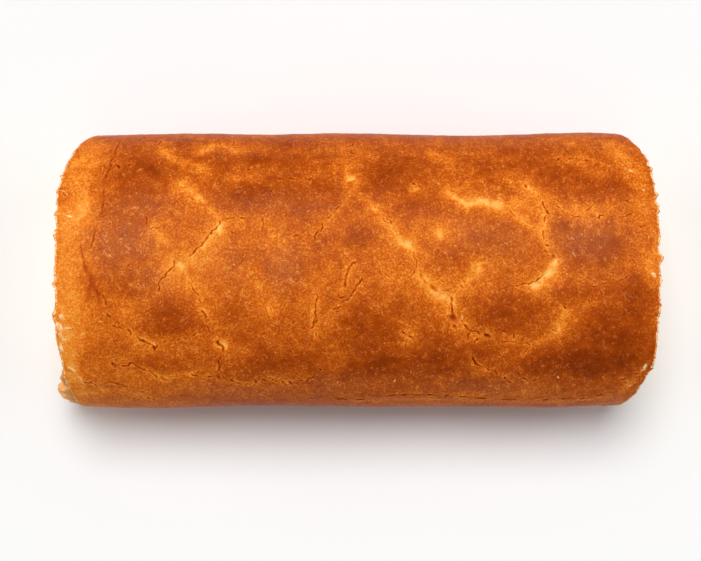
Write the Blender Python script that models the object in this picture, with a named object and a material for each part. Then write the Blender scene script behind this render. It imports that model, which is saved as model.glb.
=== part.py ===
"""Swiss roll: a browned sponge sheet rolled round a layer of cream, lying on its seam.

Metres, +Z up. X runs along the roll, -Y is its front, and the origin is the middle of its base.
"""

import math

import bmesh
import bpy
import numpy as np

# --- Driving dimensions -------------------------------------------------------------------------
LENGTH = 0.270          # between the sponge's two ends, along the top
HALF_WIDTH = 0.0645     # from the middle to the widest point, front or back
WIDEST_AT = 0.038       # height of the widest point above the base
TOP_RISE = 0.044        # from the widest point up to the ridge
LOW_DROP = 0.042        # from the widest point down to where the unsquashed bottom would be
TOP_POWER = 2.2         # superellipse powers of the upper and lower halves of the section
LOW_POWER = 2.8
BASE_ROUND = 0.003      # how softly the side turns into the flat base

SHEET = 0.012           # thickness of the sponge sheet
CREAM = 0.005           # thickness of the filling
GAP = 0.0004            # clearance between sponge and filling
STEPS_PER_TURN = 36     # facets in a turn of the roll
STEPS = 92              # facets of the whole sheet, from its outer edge to its inner one

SEAM_ANGLE = math.radians(-50)   # where the outer edge is tucked under, measured up from the front
EDGE_SHARE = 0.22       # thickness of the squashed outer edge, as a share of the sheet's
EDGE_WEDGE = 0.09       # turns over which the outer edge swells to the full thickness
EDGE_DIP = 0.07         # turns over which the next layer dips to pass under that edge
CREAM_START_STEP = 2    # facet of the sheet at which the filling begins, behind the seam
CREAM_THIN = 0.02       # turn from which the layers part to make room for the filling
CREAM_FULL = 0.15       # turn at which the filling has its full thickness
CREAM_PAST = 0.005      # turns by which the filling clears the sheet's inner edge
CORE_TURNS = (1.86, 2.0, 2.2, 2.6)     # turns at which the core runs level, folds and runs back
CORE_FLOOR = WIDEST_AT - 0.3 * SHEET   # no layer's underside is pressed flat above this
CORE_FOLD = -0.018      # where across the roll the core folds
CORE_STOP = 0.026       # and where its last run would end

# How far the ends' corners draw in, seen from above: (end, side) -> metres
CORNER_PULL = {(-1, -1): 0.004, (-1, 1): 0.012, (1, -1): 0.0105, (1, 1): 0.012}
CORNER_POWER = 5
END_REACH = 6           # how sharply a change of the ends' outline fades along the roll
LIP_REACH = 0.009       # crumb squeezed out of the low front corner at -X
LIP_CENTRE = (-0.055, 0.024)     # where, in (y, z)
LIP_SIZE = (0.009, 0.013)
END_SAG = 0.0025        # drop of the ridge at the two ends

BLISTER = 0.0008        # height of the broad blisters on the browned side
BLISTER_SPAN = 0.021    # their size along the roll
BLISTERS_PER_TURN = 15.0         # and how closely they follow each other round it

STATIONS = 19           # sections along the roll


def smooth(low, high, value):
    """0 below low, 1 above high, and a smooth rise between."""
    share = min(1.0, max(0.0, (value - low) / (high - low)))
    return share * share * (3.0 - 2.0 * share)


def signed_power(value, power):
    return math.copysign(abs(value) ** power, value)


def settle(height, floor):
    """Lifts what lies below the floor onto it, with a soft turn of BASE_ROUND just above it."""
    above = height - floor
    if above <= -BASE_ROUND:
        return floor
    if above >= BASE_ROUND:
        return height
    return floor + (above + BASE_ROUND) ** 2 / (4.0 * BASE_ROUND)


def section_point(turn, depth):
    """(y, z) of the point at this turn of the roll, depth inside its outer skin."""
    angle = SEAM_ANGLE + 2.0 * math.pi * turn
    power = TOP_POWER if math.sin(angle) > 0 else LOW_POWER
    rise = TOP_RISE if math.sin(angle) > 0 else LOW_DROP
    y = -(HALF_WIDTH - depth) * signed_power(math.cos(angle), 2.0 / power)
    z = WIDEST_AT + (rise - depth) * signed_power(math.sin(angle), 2.0 / power)
    return y, settle(z, min(depth, CORE_FLOOR))


def sheet_thickness(turn):
    return SHEET * (EDGE_SHARE + (1.0 - EDGE_SHARE) * smooth(0.0, EDGE_WEDGE, turn))


def spacing(turn):
    """Distance from the sheet's inner face to the next turn's outer face."""
    return GAP + (CREAM + GAP) * smooth(CREAM_THIN, CREAM_FULL, turn)


def outer_depth(turn):
    """Depth of the sheet's browned face at this turn: each turn lies inside the one before it."""
    if turn < 1.0:
        edge = sheet_thickness(0.0) + spacing(0.0)
        return edge * smooth(1.0 - EDGE_DIP, 1.0, turn)
    return inner_depth(turn - 1.0) + spacing(turn - 1.0)


def inner_depth(turn):
    return outer_depth(turn) + sheet_thickness(turn)


def outer_face(turn, clear=0.0):
    """(y, z) on the sheet's browned face, or this far clear of it."""
    return section_point(turn, outer_depth(turn) - clear)


def inner_face(turn, clear=0.0):
    """(y, z) on the sheet's inner face, or this far clear of it."""
    if turn < CORE_TURNS[0]:
        return section_point(turn, inner_depth(turn) + clear)
    return core_face(turn, clear)


def core_face(turn, clear):
    """The inner face in the core: level, round the fold, and back just above itself."""
    start_y, low = section_point(CORE_TURNS[0], inner_depth(CORE_TURNS[0]))
    radius = 0.5 * CREAM + GAP
    leg = np.interp(turn, CORE_TURNS, (0.0, 1.0, 2.0, 3.0))
    if leg < 1.0:
        return start_y + leg * (CORE_FOLD - start_y), low + clear
    if leg < 2.0:
        swing = math.pi * (leg - 1.0)
        reach = radius - clear
        return CORE_FOLD - reach * math.sin(swing), low + radius - reach * math.cos(swing)
    return CORE_FOLD + (leg - 2.0) * (CORE_STOP - CORE_FOLD), low + 2.0 * radius - clear


def blister(along, turn):
    """Depth change of the outermost turn's browned face, which heaves in broad blisters."""
    x, t = along / BLISTER_SPAN, turn * BLISTERS_PER_TURN
    waves = math.sin(1.3 * x + 0.8 * t) + math.sin(0.9 * x - 1.2 * t + 1.7) + math.sin(1.1 * t + 0.6)
    off_the_base = smooth(0.0, 0.06, turn) * (1.0 - smooth(0.62, 0.7, turn))
    return -0.5 * BLISTER * waves * off_the_base


def end_shift(end, y, z):
    """How far a point of the section moves out at that end of the roll."""
    side = 1 if y > 0 else -1
    shift = -CORNER_PULL[(end, side)] * min(1.0, abs(y) / HALF_WIDTH) ** CORNER_POWER
    if end < 0:
        off_y = (y - LIP_CENTRE[0]) / LIP_SIZE[0]
        off_z = (z - LIP_CENTRE[1]) / LIP_SIZE[1]
        shift += LIP_REACH * math.exp(-(off_y**2) - off_z**2)
    return shift


def placed(share, y, z, inset=0.0):
    """The section's point at this share of the half length, -1 to 1, with the ends' outline."""
    end = 1 if share > 0 else -1
    reach = abs(share) ** END_REACH
    x = share * (0.5 * LENGTH - inset) + end * reach * end_shift(end, y, z)
    sag = END_SAG * reach * max(0.0, z / (WIDEST_AT + TOP_RISE)) ** 2
    return x, y, z - sag


def shares():
    """The sections' places along the roll, closer together towards the ends."""
    even = np.linspace(-1.0, 1.0, STATIONS)
    return np.sin(0.5 * math.pi * even)


def turns_from(first_step):
    """The turns at the facets' corners, from this one to the sheet's inner edge."""
    return [step / STEPS_PER_TURN for step in range(first_step, STEPS + 1)]


def loft(name, rings, cap_faces):
    """A closed solid through the rings, one for each section, with the given faces at each end."""
    mesh = bmesh.new()
    rows = [[mesh.verts.new(point) for point in ring] for ring in rings]
    count = len(rows[0])
    for near, far in zip(rows[:-1], rows[1:]):
        for i in range(count):
            j = (i + 1) % count
            mesh.faces.new((near[i], near[j], far[j], far[i]))
    for corners in cap_faces:
        mesh.faces.new([rows[0][i] for i in corners])
        mesh.faces.new([rows[-1][i] for i in reversed(corners)])
    bmesh.ops.recalc_face_normals(mesh, faces=mesh.faces)
    data = bpy.data.meshes.new(name)
    mesh.to_mesh(data)
    mesh.free()
    data.shade_smooth()
    data.set_sharp_from_angle(angle=math.radians(50))
    return bpy.data.objects.new(name, data)


def sponge_ring(share):
    """The sheet's section: along its browned face from the outer edge in, and back along the other."""
    turns = turns_from(0)
    ring = []
    for turn in turns:
        heave = blister(share * 0.5 * LENGTH, turn) if turn < 1.0 else 0.0
        ring.append(section_point(turn, outer_depth(turn) + heave))
    ring += [inner_face(turn) for turn in reversed(turns)]
    return [placed(share, y, z) for y, z in ring]


def make_sponge():
    count = STEPS + 1
    cap = [(i, 2 * count - 1 - i, 2 * count - 2 - i, i + 1) for i in range(count - 1)]
    return loft("sponge_sheet", [sponge_ring(share) for share in shares()], cap)


def cream_ring(share):
    """The filling's section: along the sheet's inner face, and back along the next turn's face."""
    past = STEPS / STEPS_PER_TURN + CREAM_PAST
    inner_side = turns_from(CREAM_START_STEP) + [past]
    outer_side = turns_from(CREAM_START_STEP + STEPS_PER_TURN) + [past]
    ring = [inner_face(turn, GAP) for turn in inner_side]
    ring += [outer_face(turn, GAP) for turn in reversed(outer_side)]
    return [placed(share, y, z, inset=0.001) for y, z in ring]


def make_cream():
    rings = [cream_ring(share) for share in shares()]
    return loft("cream_filling", rings, [tuple(range(len(rings[0])))])


def centre_over_origin(pieces):
    """Shifts the pieces together so that the middle of their outline from above is the origin."""
    corners = np.array([vertex.co for piece in pieces for vertex in piece.data.vertices])
    middle = 0.5 * (corners.min(axis=0) + corners.max(axis=0))
    for piece in pieces:
        for vertex in piece.data.vertices:
            vertex.co.x -= middle[0]
            vertex.co.y -= middle[1]


def material(name, colour, roughness):
    made = bpy.data.materials.new(name)
    made.use_nodes = True
    shader = made.node_tree.nodes["Principled BSDF"]
    shader.inputs["Base Color"].default_value = (*colour, 1.0)
    shader.inputs["Roughness"].default_value = roughness
    shader.inputs["Metallic"].default_value = 0.0
    return made


def main():
    for old in list(bpy.data.objects):
        bpy.data.objects.remove(old)
    roll = bpy.data.collections.new("swiss_roll")
    bpy.context.scene.collection.children.link(roll)
    sponge = make_sponge()
    sponge.data.materials.append(material("browned_sponge", (0.62, 0.15, 0.025), 0.5))
    cream = make_cream()
    cream.data.materials.append(material("cream", (0.87, 0.78, 0.6), 0.4))
    centre_over_origin((sponge, cream))
    for piece in (sponge, cream):
        roll.objects.link(piece)


main()
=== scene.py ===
"""The looks of a swiss roll: a browned, cracked skin, open crumb at both ends, and cream between.

Metres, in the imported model's frame: X along the roll, -Y its front, Z up from its base.
A place on the browned skin is (along, arc): metres along the roll, and metres round it from the
ridge, positive towards the back. Turns are counted along the sheet from its outer edge.
"""

import math
from collections import namedtuple

import bmesh
import bpy
import numpy as np
from mathutils import Euler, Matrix, Vector, kdtree, noise
from mathutils.geometry import delaunay_2d_cdt


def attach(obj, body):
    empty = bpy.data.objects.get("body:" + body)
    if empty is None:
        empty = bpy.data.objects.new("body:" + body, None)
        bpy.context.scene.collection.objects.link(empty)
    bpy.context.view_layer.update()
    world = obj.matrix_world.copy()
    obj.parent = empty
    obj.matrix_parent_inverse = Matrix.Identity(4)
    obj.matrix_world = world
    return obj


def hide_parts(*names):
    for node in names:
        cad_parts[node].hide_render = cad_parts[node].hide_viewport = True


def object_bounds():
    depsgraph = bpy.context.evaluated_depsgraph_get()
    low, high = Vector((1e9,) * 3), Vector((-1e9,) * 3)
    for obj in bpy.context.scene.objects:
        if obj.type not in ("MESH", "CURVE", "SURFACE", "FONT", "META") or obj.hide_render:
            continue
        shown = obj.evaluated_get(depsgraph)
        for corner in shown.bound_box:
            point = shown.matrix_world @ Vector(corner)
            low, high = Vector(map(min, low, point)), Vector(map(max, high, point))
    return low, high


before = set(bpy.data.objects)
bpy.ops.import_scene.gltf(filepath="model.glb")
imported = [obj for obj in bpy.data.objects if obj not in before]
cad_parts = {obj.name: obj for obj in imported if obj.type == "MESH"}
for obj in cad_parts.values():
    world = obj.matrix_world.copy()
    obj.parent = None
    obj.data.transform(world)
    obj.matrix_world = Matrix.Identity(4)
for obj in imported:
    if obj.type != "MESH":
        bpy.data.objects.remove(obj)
CAD_LOW, CAD_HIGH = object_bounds()

MM = 0.001

# --- The roll's section, as it is packed ---------------------------------------------------------
LENGTH = 0.270
HALF_LENGTH = 0.5 * LENGTH
HALF_WIDTH = 0.0645
WIDEST_AT = 0.038           # height of the widest line, and the rise and drop from it
TOP_RISE = 0.044
LOW_DROP = 0.042
TOP_POWER = 2.2             # 2 is an ellipse, and more is squarer
LOW_POWER = 2.8
BASE_ROUND = 0.003
SHEET = 0.012
CREAM = 0.005
GAP = 0.0004
STEPS_PER_TURN = 36
TURNS = 92 / STEPS_PER_TURN
SEAM_ANGLE = math.radians(-50)      # where the sheet's outer edge lies, upwards from the front
EDGE_SHARE = 0.22           # the outer edge's share of the thickness, which is full after the wedge
EDGE_WEDGE = 0.09
EDGE_DIP = 0.07             # turns in which the sheet sinks to pass under its outer edge
CREAM_START = 2 / STEPS_PER_TURN
CREAM_THIN = 0.02           # turns between which room opens for the cream
CREAM_FULL = 0.15
CORE_TURNS = (1.86, 2.0, 2.2, 2.6)  # where the inner face runs in, folds and runs out in the core
CORE_FLOOR = WIDEST_AT - 0.3 * SHEET
CORE_FOLD = -0.018
CORE_STOP = 0.026
# How far each corner of the roll is drawn in, by its end and side
CORNER_PULL = {(-1, -1): 0.004, (-1, 1): 0.012, (1, -1): 0.0105, (1, 1): 0.012}
CORNER_POWER = 5
END_REACH = 6               # the power with which the ends' shape fades along the roll
LIP_REACH = 0.009           # of the lip of crumb at -X, with (y, z) of its middle and its size
LIP_CENTRE = (-0.0570, 0.023)
LIP_SIZE = (0.0055, 0.013)
END_SAG = 0.0025
BLISTER = 0.0008
BLISTER_SPAN = 0.021
BLISTERS_PER_TURN = 15.0

# The middle of the roll's length lies a little to +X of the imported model's, whose lip reaches out at -X
ROLL_MIDDLE = np.array((CAD_HIGH[0] - HALF_LENGTH, 0.0, 0.0))

# --- Mesh density --------------------------------------------------------------------------------
SKIN_STEP = 1.5 * MM        # spacing of the skin's points, and underneath
UNDER_STEP = 4.0 * MM
RIM_STEP = 0.9 * MM         # along the rim of an end, and over this band beside it
RIM_BAND = 3.5 * MM
CRUMB_STEP = 1.0 * MM       # over an end's crumb and cream
CREAM_STEP = 0.9 * MM
HIDDEN_STEP = 12 * MM       # inside the roll
CRACK_STEP = 0.45 * MM      # along a crack, and across it
CRACK_OFFSETS = np.array((-1.1, -0.6, -0.28, 0.0, 0.28, 0.6, 1.1)) * MM
OFFSETS_SUIT = 0.4          # half-width in millimetres, and wider cracks need wider offsets
FINE_CELL = 0.22 * MM       # at most one point of a crack in each
CURVE_STEPS = 24            # between two points of a crack's route
CRACK_SEED, SKIN_SEED, HIDDEN_SEED, CRUMB_SEED, CREAM_SEED = 7, 3, 4, 20, 30

# --- Relief and browning ---------------------------------------------------------------------------
# Lumps of noise are (height, size, seed), and each crack adds its own seed to them
NOISE_GAIN = 1.6            # brings the noise to about -1 to 1
SEED_SHIFT = 31.7           # moves every seed to another part of the noise
BROAD_LUMPS = ((0.08, 26 * MM, 1), (0.08, 11 * MM, 2))
SMALL_LUMPS = ((0.09, 4.0 * MM, 3),)
SKIN_GRAIN = ((0.10 * MM, 3 * MM, 4),)
VEIN_LUMPS = ((0.35, 2.6 * MM, 5),)
RIM_LUMPS = ((0.40, 4.0 * MM, 12), (0.50, 13 * MM, 13))
CRUMB_LUMPS = ((0.45, 2.6 * MM, 14), (0.5, 6 * MM, 15))
CREAM_LUMPS = ((0.35, 5 * MM, 21), (0.15, 1.6 * MM, 22))
WANDER = ((0.45 * MM, 3.5 * MM, 0.0), (0.35 * MM, 1.4 * MM, 0.5))
VEIN_CORE, VEIN_HALO = 0.85, 2.3    # widths of a vein's core and halo, in its half-widths
VEIN_HALO_SHARE, CREASE_HALO_SHARE = 0.38, 0.1
DOME_POWER, SHEEN_POWER = 1.3, 1.0  # more is flatter on top, with steeper sides
DOME_SHARE, VEIN_SHARE = 0.50, 0.50
# A vein's paleness, the painted shade in a crease, and the painted highlight on the raised rims of cracks
VEIN_PALENESS, CREASE_SHADE, RIM_HIGHLIGHT = 0.16, 0.34, 0.35
SKIN_HEAVE = 1.5 * MM       # from a full vein to a full dome
SEAM_TURNS, BASE_TURNS = (0.0, 0.04), (0.62, 0.72)  # where the relief comes in and goes out
CRACK_TIP, TIP_SHARE, TIP_START = 1.5 * MM, 0.3, -0.4 * MM  # how a crack opens from its tips
CRACK_UNEVEN = ((0.45, 1.9 * MM, 0.25),)
CRACK_WIDTH, CRACK_WIDENING = 0.72, 0.42
CRACK_DEPTH, CRACK_RIM = 0.50, 0.22     # shares of a crack's depth in the relief
RIM_PLACE, RIM_SPREAD = 1.9, 0.9        # of a crack's raised rims, in its half-widths
CRACK_REACH = 2.4 * MM      # past this a crack has no effect
DARK_DEPTH = 0.75 * MM      # as deep as this, a crack's painted shade is at its darkest
DARK_WIDTH = 0.45 * MM      # and with a half-width above this, it is paler again
TEETH, TEETH_POWER = 1.2, 1.5           # of crumb on the rim of an end, in millimetres
TORN_BACK = 1.2             # how far the torn skin has shrunk from the crumb, in millimetres

# --- Random cracks on the sides and underneath, and wrinkles all over ------------------------------
UNSEEN_COUNT = 26           # on each side
UNSEEN_ALONG = 0.12
UNSEEN_DOWN = (0.001, 0.032)            # from the lines where the roll is widest
UNSEEN_LIMIT = 0.130                    # and clear of the seam and of the sheet's hidden part
UNSEEN_CLEAR = (0.010, 0.020)
UNSEEN_HEADING, UNSEEN_TURN = 0.6, 0.5  # from the roll's length, and from step to step
UNSEEN_STEPS = (1, 5)
WRINKLE_TURN = (0.3, 1.1)
UNSEEN_STEP, WRINKLE_STEP = (1.5, 5.0), (0.6, 1.5)      # in millimetres
UNSEEN_DEPTH, WRINKLE_DEPTH = (0.5, 1.0), (0.15, 0.4)
UNSEEN_WIDTH, WRINKLE_WIDTH = (0.26, 0.40), (0.24, 0.34)
WRINKLE_COUNT = 2600
WRINKLE_ALONG = 0.131
WRINKLE_DOWN = 0.03
WRINKLES_KEPT, VEIN_WRINKLES = 0.09, 0.6                # everywhere, and more on a vein

# --- What the skin shows, in millimetres seen from above, from the roll's middle -------------------
# A row that ends in a route has its points last: x, y, x, y and so on

# Pale veins and spots, where the skin is thin and sunken: (strength, half-width, route)
VEINS = [
    # the back left
    (0.45, 3, -130, 47, -124, 50, -119, 47),
    (0.75, 4.5, -125, 21, -122, 27),
    (0.3, 5, -130, 38, -126, 36),
    (0.2, 4, -120, 57, -124, 50),
    (0.6, 3.6, -89, 52, -84, 48, -78, 45, -72, 43),
    (1.05, 3.8, -79, 34, -75, 32, -71, 29),
    (0.3, 6, -80, 37, -68, 31),
    (0.6, 2.2, -91, 16, -88, 12, -86, 9),
    (0.3, 4, -86, 9, -82, 2),
    (0.66, 2.6, -73, 50, -66, 55, -61, 55, -55, 52),
    (0.3, 3.2, -53, 52, -46, 53),
    (0.45, 2.8, -54, 38, -47, 39),
    (0.35, 2, -59, 38, -57, 36),
    (0.62, 1.9, -68, 26, -64, 22, -61, 18),
    (0.95, 2.6, -61, 16, -62, 14),
    (0.65, 2.2, -64, 11, -70, 6, -76, 0),
    (1.25, 2.8, -79, -2),
    (0.6, 6, -83, -2, -74, 2),
    (0.4, 5, -79, -5, -71, -10),
    (0.45, 4, -60, 18, -53, 17),
    # the middle of the back
    (0.35, 5, -42, 18, -38, 12, -34, 6),
    (0.14, 4, -16, 45, -12, 42),
    (1.6, 2.1, -3, 39),
    (0.6, 5, -4, 44, 0, 34),
    (0.45, 2, 0, 54, 4, 51, 9, 49),
    (0.6, 2.6, -2, 37, 2, 31, 4, 27),
    (0.7, 2, 6, 26, 9, 23),
    (0.5, 2.6, 2, 31, 9, 23, 15, 16, 20, 10),
    (1, 2, 19, 10, 24, 6),
    (0.26, 2, 24, 6, 26, 1, 28, -5),
    (1.05, 3, 37, 13),
    (0.4, 4.6, 38, 15),
    (0.75, 1.8, 26, 33),
    (0.65, 2, 36, 50, 38, 49),
    (0.55, 4.2, 35, 50, 43, 47),
    (0.35, 4, 36, 46, 46, 44),
    (0.9, 2.2, 41, 31, 44, 29, 47, 27),
    (1.15, 2.7, 47, 27, 49, 26, 55, 28, 59, 27, 64, 25),
    (0.5, 4.6, 44, 30, 62, 28),
    (0.6, 2.2, 64, 25, 70, 22, 77, 17, 81, 14),
    (0.35, 5, 66, 28, 78, 24),
    # the back right
    (0.75, 2.2, 77, 34, 80, 31),
    (0.45, 4, 70, 38, 80, 31, 84, 25),
    (0.55, 2.2, 84, 22, 83, 12, 85, 4),
    (0.35, 2, 89, 26, 96, 22),
    (0.6, 4, 98, 24, 107, 23),
    (0.45, 2, 98, 57, 102, 55),
    (0.35, 2.4, 96, 47, 103, 45, 109, 41),
    (0.4, 1.6, 103, 49, 114, 45),
    (0.6, 5, 119, 55, 127, 42),
    (0.4, 3, 127, 38, 129, 28),
    # the middle
    (0.45, 3, -46, -5, -44, -10),
    (0.5, 2, -40, -21, -38, -23),
    (0.25, 4, -40, -12, -40, -32),
    (0.4, 2.6, -5, 0, -4, -8),
    (0.3, 4, -14, 0, -8, -12, -12, -22),
    (0.4, 2.4, -20, -22, -19, -32),
    (0.45, 2, -8, -20, -5, -22),
    (0.15, 4, 8, -3, 22, -8),
    (0.52, 2.2, 28, -6, 32, -11, 36, -16),
    (0.88, 3, 36, -14, 41, -18),
    (0.4, 2, 38, -20, 41, -23),
    (0.6, 2.4, 42, -15, 46, -11, 50, -7),
    (1, 3.5, 54, -2),
    (0.28, 5, 52, -3),
    (0.36, 2.2, 46, -26, 50, -31, 53, -33),
    (0.35, 2.4, 58, -31, 66, -33, 76, -36),
    (1.15, 2.2, 88, 0, 86, -4, 83, -7, 79, -11),
    (0.7, 4.4, 89, 1, 87, -6, 78, -11),
    (0.75, 2.1, 93, -22, 92, -26, 90, -30),
    (0.5, 2.4, 90, -30, 86, -34, 80, -36, 75, -40),
    (0.15, 3, 107, -13, 103, -17),
    (0.3, 2.6, 108, -9, 120, -6),
    (0.5, 3, 130, 0, 132, -7),
    # the front left
    (0.28, 5, -127, -4, -128, -24),
    (0.42, 3, -132, -20, -130, -31, -130, -42, -127, -51),
    (0.3, 2.6, -131, -47, -126, -58),
    (0.55, 1.8, -70, -16, -68, -22),
    (0.9, 2.6, -60, -37),
    (0.3, 1.4, -57, -38, -50, -39),
    (0.55, 2, -95, -34, -92, -36),
    (0.3, 3, -105, -32, -96, -38),
    (0.45, 1.2, -95, -48, -89, -52, -83, -51),
    (0.6, 0.9, -78, -50, -76, -50),
    (0.35, 1.2, -120, -57, -108, -57, -98, -60),
    (0.35, 1, -56, -53, -50, -54, -46, -54),
    # the front right
    (0.4, 3, 23, -31, 21, -36),
    (0.35, 1.6, 53, -45, 60, -49),
    (0.35, 2.6, 131, -48, 127, -56),
    (0.2, 2, 122, -52, 127, -52),
    # a fold in the middle of the back
    (0.4, 1.6, -5, 27, -9, 23, -14, 18),
    (0.4, 1.3, 0, -62.6, 30, -62, 60, -62.6, 100, -62.4, 120, -60.6),
]

# Browner domes, where the skin is raised: (strength, half-length, half-width, x, y)
DOMES = [
    (0.1, 10, 6, -102, 57),
    (0.45, 12, 8, -99, 44),
    (0.3, 8, 5, -82, 57),
    (0.3, 12, 7, -96, 27),
    (0.4, 14, 17, -103, 12),
    (0.1, 8, 8, -79, 20),
    (0.76, 10, 10, -84, -24.5),
    (0.12, 18, 7, -106, -40),
    (0.45, 22, 5, -60, 48),
    (0.36, 20, 6, -54, 30),
    (0.32, 26, 4, -30, 48),
    (0.23, 12, 7, -16, 34),
    (0.5, 8, 8, -98, -9),
    (0.42, 9, 8, -108, 22),
    (0.36, 18, 5, -90, -45),
    (0.24, 12, 10, -33, -7),
    (0.12, 10, 9, -21, 6),
    (0.26, 9, 9, -52, -25),
    (0.24, 10, 9, -29, -26),
    (0.34, 24, 6, -42, -44),
    (0.4, 8, 6, 1, 12),
    (0.42, 13, 8, 12, 37),
    (0.45, 10, 6, 24, 24),
    (0.42, 10, 6, 29, 45),
    (0.25, 12, 5, 60, 44),
    (0.35, 8, 6, 72, 45),
    (0.3, 8, 5, 110, 46),
    (0.48, 10, 9, 21, -21),
    (0.5, 6, 6, 92, 15),
    (0.65, 10, 18, 124, -20),
    (0.25, 16, 5, -12, 24),
    (0.3, 5, 6, 25, 19),
    (0.1, 12, 8, 50, 8),
    (0.42, 15, 8, 65, 12),
    (0.67, 21, 9, 66, -22),
    (0.6, 7, 5, 91, -13.5),
    (0.24, 17, 5, 63, 36),
    (0.22, 5, 6, 30, 16),
    (0.25, 26, 5, 58, -55),
    (0.55, 20, 11, 105, 7),
    (0.38, 14, 7, 88, 41),
    (0.35, 12, 6, 113, 33),
    (0.6, 10, 6, 98, -15),
    (0.65, 17, 13, 114, -28),
    (0.7, 30, 8, 104, -44),
    (0.5, 16, 12, 5, -29),
    (0.3, 8, 6, 16, 28),
    (0.4, 16, 5, 70, 52),
    (0.4, 22, 6, 20, -46),
    (0.35, 8, 8, 34, -30),
]

# Painted sheen, a whitish haze, on the crowns of domes and low on the front: (strength, half-length,
# half-width, x, y)
PAINTED_SHEEN_SPOTS = [
    (1, 16, 13, -105, 8),
    (0.7, 10, 10, -90, -6),
    (0.6, 12, 8, -96, 24),
    (0.9, 8, 10, -33, -3),
    (0.5, 12, 10, -60, -2),
    (0.9, 16, 12, 103, 10),
    (0.5, 12, 8, 66, 8),
    (0.5, 12, 8, 52, 12),
    (0.4, 24, 6, -30, 26),
    (0.6, 24, 5, -60, -57),
    (0.5, 30, 6, 60, -55),
    (0.5, 20, 6, -10, -54),
]

# Soft creases, painted darker than the skin beside them, as shade: (strength, half-width, route)
CREASES = [
    (0.6, 0.6, -123.3, 7.4, -122.3, 2, -121.5, -2),
    (0.8, 1.2, -121.3, -2.4, -120, -5),
    (0.95, 1.8, -119, -6, -118.2, -10.2),
    (0.8, 1.2, -118.8, -10.5, -120.4, -17.3),
    (0.4, 0.8, -120.4, -17.3, -123.3, -22.3),
    (0.8, 1.3, -117.6, -10.5, -115, -15),
    (0.6, 1.2, -115, -16, -114.8, -20),
    (0.5, 0.5, -117, 13.7, -118.8, 5.7, -117.6, 3),
    (0.4, 0.5, -117.6, 3, -114.6, 6),
    (0.34, 0.9, -112, 58, -113, 46, -114.5, 34, -114, 22),
    (0.5, 2.6, -132.5, 28),
    (0.34, 1.6, -134.5, 18.5, -130, 19.5),
    (0.3, 1.8, -125.5, -48, -123, -57),
    (0.35, 2, 41, -25, 45, -27),
    (0.2, 1, 123, 33.6, 126, 32.6),
    (0.25, 1.2, 125, 16, 128.5, 16.4, 131.6, 17.8),
    (0.22, 0.9, -14, -60.6, 16, -60, 48, -60.4, 90, -60.6, 120, -58.6),
]

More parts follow.
